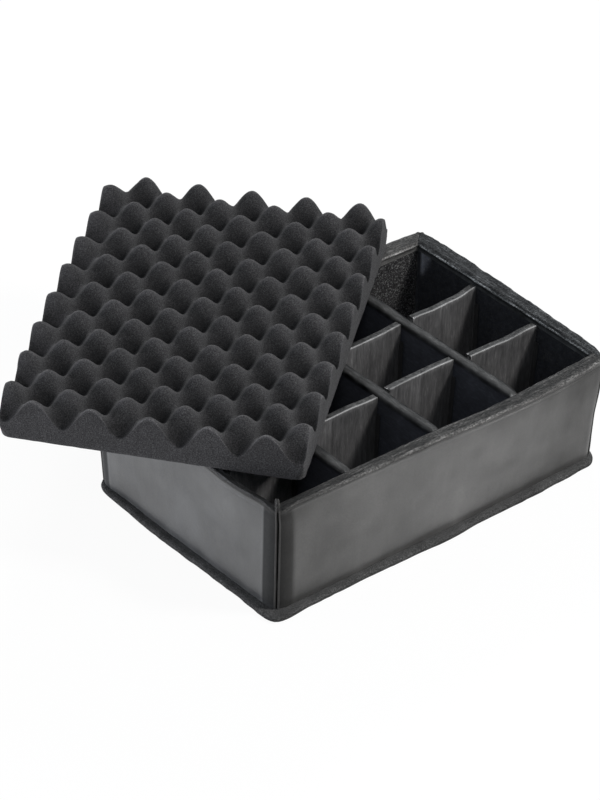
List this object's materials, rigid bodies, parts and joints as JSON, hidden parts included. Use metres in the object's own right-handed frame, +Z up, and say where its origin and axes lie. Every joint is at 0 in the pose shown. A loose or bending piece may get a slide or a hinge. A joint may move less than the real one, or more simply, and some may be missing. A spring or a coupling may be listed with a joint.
{
  "type": "camera bag insert",
  "caption": "Padded camera bag insert: a covered foam box whose movable dividers form compartments for cameras and lenses, with a loose egg-crate foam pad laid askew on top.",
  "frame": {"origin": "centre of the felt base's flat underside, on which the insert stands", "axes": "+Z up, X along the long side of the box, and the long front wall faces -Y"},
  "size_m": [0.502, 0.4639, 0.1592],
  "materials": {
    "leatherette": "satin",
    "core_foam": "matte",
    "loop_lining": "matte",
    "velour": "matte",
    "hook_tape": "matte",
    "felt": "matte",
    "board": "matte",
    "pad_foam": "matte"
  },
  "bodies": {
    "tray": {"base_felt_tray": "felt", "base_board": "board", "floor_foam": "core_foam", "floor_lining": "loop_lining", "front_wall_cover": "leatherette", "front_wall_foam": "core_foam", "front_wall_lining": "loop_lining", "right_wall_cover": "leatherette", "right_wall_foam": "core_foam", "right_wall_lining": "loop_lining", "rear_wall_cover": "leatherette", "rear_wall_foam": "core_foam", "rear_wall_lining": "loop_lining", "left_wall_cover": "leatherette", "left_wall_foam": "core_foam", "left_wall_lining": "loop_lining", "front_left_corner_welt": "leatherette", "front_right_corner_welt": "leatherette", "rear_right_corner_welt": "leatherette", "rear_left_corner_welt": "leatherette", "long_divider_1_cover": "velour", "long_divider_1_foam": "core_foam", "long_divider_1_front_hook_strip": "hook_tape", "long_divider_1_rear_hook_strip": "hook_tape", "long_divider_2_cover": "velour", "long_divider_2_foam": "core_foam", "long_divider_2_front_hook_strip": "hook_tape", "long_divider_2_rear_hook_strip": "hook_tape", "long_divider_3_cover": "velour", "long_divider_3_foam": "core_foam", "long_divider_3_front_hook_strip": "hook_tape", "long_divider_3_rear_hook_strip": "hook_tape"},
    "pad": {"egg_crate_pad": "pad_foam"},
    "short_divider_1_front": {"short_divider_1_front_cover": "velour", "short_divider_1_front_core": "core_foam"},
    "short_divider_1_rear": {"short_divider_1_rear_cover": "velour", "short_divider_1_rear_core": "core_foam"},
    "short_divider_2_front": {"short_divider_2_front_cover": "velour", "short_divider_2_front_core": "core_foam"},
    "short_divider_2_rear": {"short_divider_2_rear_cover": "velour", "short_divider_2_rear_core": "core_foam"},
    "short_divider_3_front": {"short_divider_3_front_cover": "velour", "short_divider_3_front_core": "core_foam"},
    "short_divider_3_rear": {"short_divider_3_rear_cover": "velour", "short_divider_3_rear_core": "core_foam"},
    "short_divider_4_front": {"short_divider_4_front_cover": "velour", "short_divider_4_front_core": "core_foam"},
    "short_divider_4_rear": {"short_divider_4_rear_cover": "velour", "short_divider_4_rear_core": "core_foam"}
  },
  "joints": [
    {"name": "pad_lift", "type": "slide", "parent": "tray", "child": "pad", "axis": [0, 0, 1], "range_m": [0, 0.15]},
    {"name": "short_divider_1_front_shift", "type": "slide", "parent": "tray", "child": "short_divider_1_front", "axis": [0, 1, 0], "range_m": [-0.0581, 0.028]},
    {"name": "short_divider_1_rear_shift", "type": "slide", "parent": "tray", "child": "short_divider_1_rear", "axis": [0, 1, 0], "range_m": [-0.0279, 0.0706]},
    {"name": "short_divider_2_front_shift", "type": "slide", "parent": "tray", "child": "short_divider_2_front", "axis": [0, 1, 0], "range_m": [-0.0611, 0.0265]},
    {"name": "short_divider_2_rear_shift", "type": "slide", "parent": "tray", "child": "short_divider_2_rear", "axis": [0, 1, 0], "range_m": [-0.0264, 0.0706]},
    {"name": "short_divider_3_front_shift", "type": "slide", "parent": "tray", "child": "short_divider_3_front", "axis": [0, 1, 0], "range_m": [-0.0631, 0.0254]},
    {"name": "short_divider_3_rear_shift", "type": "slide", "parent": "tray", "child": "short_divider_3_rear", "axis": [0, 1, 0], "range_m": [-0.0255, 0.0706]},
    {"name": "short_divider_4_front_shift", "type": "slide", "parent": "tray", "child": "short_divider_4_front", "axis": [0, 1, 0], "range_m": [-0.0571, 0.029]},
    {"name": "short_divider_4_rear_shift", "type": "slide", "parent": "tray", "child": "short_divider_4_rear", "axis": [0, 1, 0], "range_m": [-0.0289, 0.0696]}
  ]
}
